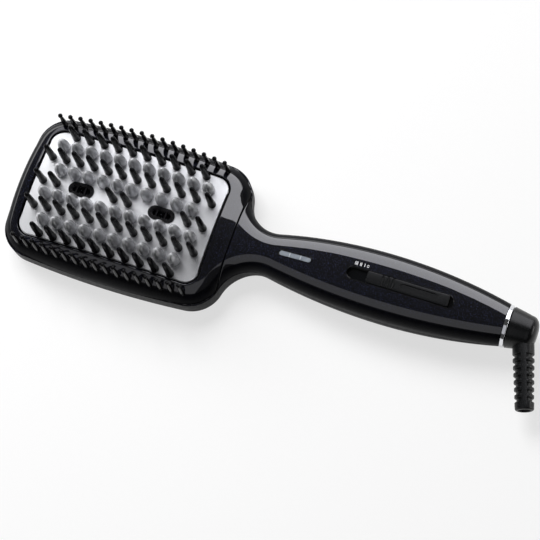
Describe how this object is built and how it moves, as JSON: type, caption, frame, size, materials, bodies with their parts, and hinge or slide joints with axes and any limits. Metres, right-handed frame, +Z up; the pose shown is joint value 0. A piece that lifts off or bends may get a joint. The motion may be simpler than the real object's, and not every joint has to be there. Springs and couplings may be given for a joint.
{
  "type": "heated styling brush",
  "caption": "Heated paddle styling brush: crowned metal plate with nubs and bristles, edge combs, a handle with a slide switch and a swivelling cord boot.",
  "frame": {"origin": "on the flat back of the paddle, below the middle of the heated plate", "axes": "+X from the paddle to the cord end, +Y across the paddle, +Z up out of the heated plate"},
  "size_m": [0.3193, 0.0902, 0.0495],
  "materials": {
    "gloss_shell": "high gloss black with a fine flake",
    "plate_metal": "satin silver coating",
    "bristle_black": "matte black",
    "comb_black": "satin black",
    "grille_black": "matte black",
    "lens_grey": "smoky clear",
    "slider_black": "satin black",
    "ring_chrome": "polished",
    "cap_black": "satin black",
    "boot_rubber": "matte black",
    "steel": "plated",
    "contact_brass": "bare",
    "heat_proof": "moulded",
    "heater_foil": "bare",
    "mica": "sheet",
    "board_green": "lacquered",
    "lamp_blue": "clear",
    "module_grey": "potted",
    "bush_white": "smooth"
  },
  "bodies": {
    "housing": {"back_shell": "gloss_shell", "paddle_bezel": "gloss_shell", "handle_cover": "gloss_shell", "heating_plate": "plate_metal", "bristle_strip_1": "bristle_black", "bristle_strip_2": "bristle_black", "bristle_strip_3": "bristle_black", "bristle_strip_4": "bristle_black", "bristle_pair_front": "bristle_black", "bristle_pair_middle": "bristle_black", "bristle_pair_rear": "bristle_black", "edge_comb_left": "comb_black", "edge_comb_right": "comb_black", "ion_grille_front": "grille_black", "ion_grille_rear": "grille_black", "ion_needles": "steel", "plate_carrier": "heat_proof", "ptc_heater_left": "heater_foil", "ptc_heater_right": "heater_foil", "mica_sheet": "mica", "heater_clamp": "steel", "temperature_sensor": "module_grey", "thermal_fuse": "steel", "ionizer_module": "module_grey", "control_board": "board_green", "indicator_leds": "lamp_blue", "slide_switch_body": "module_grey", "indicator_lens": "lens_grey", "shell_screws": "steel", "plate_screws": "steel", "board_screws": "steel", "trim_ring": "ring_chrome", "swivel_bush": "bush_white", "contact_springs": "contact_brass", "contact_block": "module_grey"},
    "switch": {"switch_slider": "slider_black", "switch_knob": "module_grey"},
    "cord_end": {"end_cap": "cap_black", "strain_relief": "boot_rubber", "swivel_spindle": "bush_white", "retaining_clip": "steel", "slip_ring_sleeve": "module_grey", "slip_rings": "contact_brass"}
  },
  "joints": [
    {"name": "switch_slide", "type": "slide", "parent": "housing", "child": "switch", "axis": [-1, 0, 0], "range_m": [0, 0.008]},
    {"name": "cord_swivel", "type": "hinge", "parent": "housing", "child": "cord_end", "pos_m": [0.227, 0, 0.015], "axis": [1, 0, 0], "continuous": true}
  ]
}
